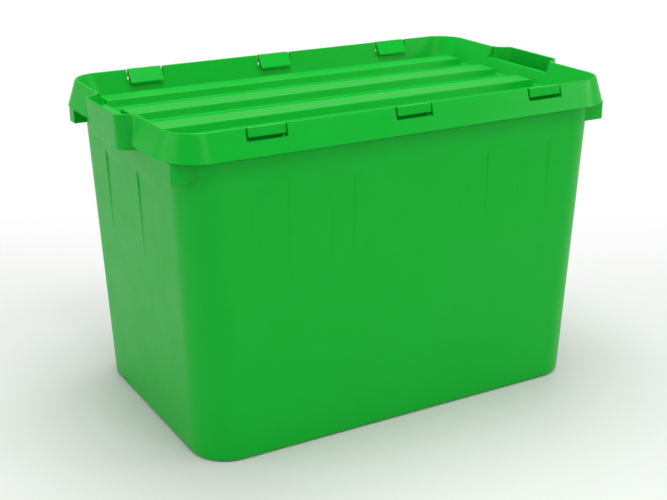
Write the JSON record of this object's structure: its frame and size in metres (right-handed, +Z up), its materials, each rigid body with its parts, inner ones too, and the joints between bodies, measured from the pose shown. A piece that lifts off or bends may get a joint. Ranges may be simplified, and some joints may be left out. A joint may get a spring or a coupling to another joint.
{
  "type": "snap-lid storage tote",
  "caption": "Large tapered plastic storage tote with moulded end handles and a sunken, ribbed, lift-off lid held by snap tabs.",
  "frame": {"origin": "centre of the footprint, on the ground", "axes": "+X along the length, +Y across it, +Z up"},
  "size_m": [0.716, 0.43, 0.46],
  "materials": {
    "tub_plastic": "satin moulded polyethylene, leaf green",
    "lid_plastic": "satin moulded polyethylene, leaf green"
  },
  "bodies": {
    "tub": {"tub_shell": "tub_plastic", "tub_rim": "tub_plastic", "end_handle_left": "tub_plastic", "end_handle_right": "tub_plastic", "corner_lug_left_front": "tub_plastic", "corner_lug_left_back": "tub_plastic", "corner_lug_right_front": "tub_plastic", "corner_lug_right_back": "tub_plastic"},
    "lid": {"lid": "lid_plastic"},
    "snap_tab_front_left": {"snap_tab_front_left": "lid_plastic"},
    "snap_tab_front_middle": {"snap_tab_front_middle": "lid_plastic"},
    "snap_tab_front_right": {"snap_tab_front_right": "lid_plastic"},
    "snap_tab_back_left": {"snap_tab_back_left": "lid_plastic"},
    "snap_tab_back_middle": {"snap_tab_back_middle": "lid_plastic"},
    "snap_tab_back_right": {"snap_tab_back_right": "lid_plastic"}
  },
  "joints": [
    {"name": "lid_lift", "type": "slide", "parent": "tub", "child": "lid", "axis": [0, 0, 1], "range_m": [0, 0.2]},
    {"name": "tab_flex_front_left", "type": "hinge", "parent": "lid", "child": "snap_tab_front_left", "pos_m": [-0.216, -0.1952, 0.442], "axis": [-1, 0, 0], "range_deg": [0, 10], "stiffness_Nm_per_rad": 0.5},
    {"name": "tab_flex_front_middle", "type": "hinge", "parent": "lid", "child": "snap_tab_front_middle", "pos_m": [0, -0.1952, 0.442], "axis": [-1, 0, 0], "range_deg": [0, 10], "stiffness_Nm_per_rad": 0.5},
    {"name": "tab_flex_front_right", "type": "hinge", "parent": "lid", "child": "snap_tab_front_right", "pos_m": [0.216, -0.1952, 0.442], "axis": [-1, 0, 0], "range_deg": [0, 10], "stiffness_Nm_per_rad": 0.5},
    {"name": "tab_flex_back_left", "type": "hinge", "parent": "lid", "child": "snap_tab_back_left", "pos_m": [-0.216, 0.1952, 0.442], "axis": [1, 0, 0], "range_deg": [0, 10], "stiffness_Nm_per_rad": 0.5},
    {"name": "tab_flex_back_middle", "type": "hinge", "parent": "lid", "child": "snap_tab_back_middle", "pos_m": [0, 0.1952, 0.442], "axis": [1, 0, 0], "range_deg": [0, 10], "stiffness_Nm_per_rad": 0.5},
    {"name": "tab_flex_back_right", "type": "hinge", "parent": "lid", "child": "snap_tab_back_right", "pos_m": [0.216, 0.1952, 0.442], "axis": [1, 0, 0], "range_deg": [0, 10], "stiffness_Nm_per_rad": 0.5}
  ]
}
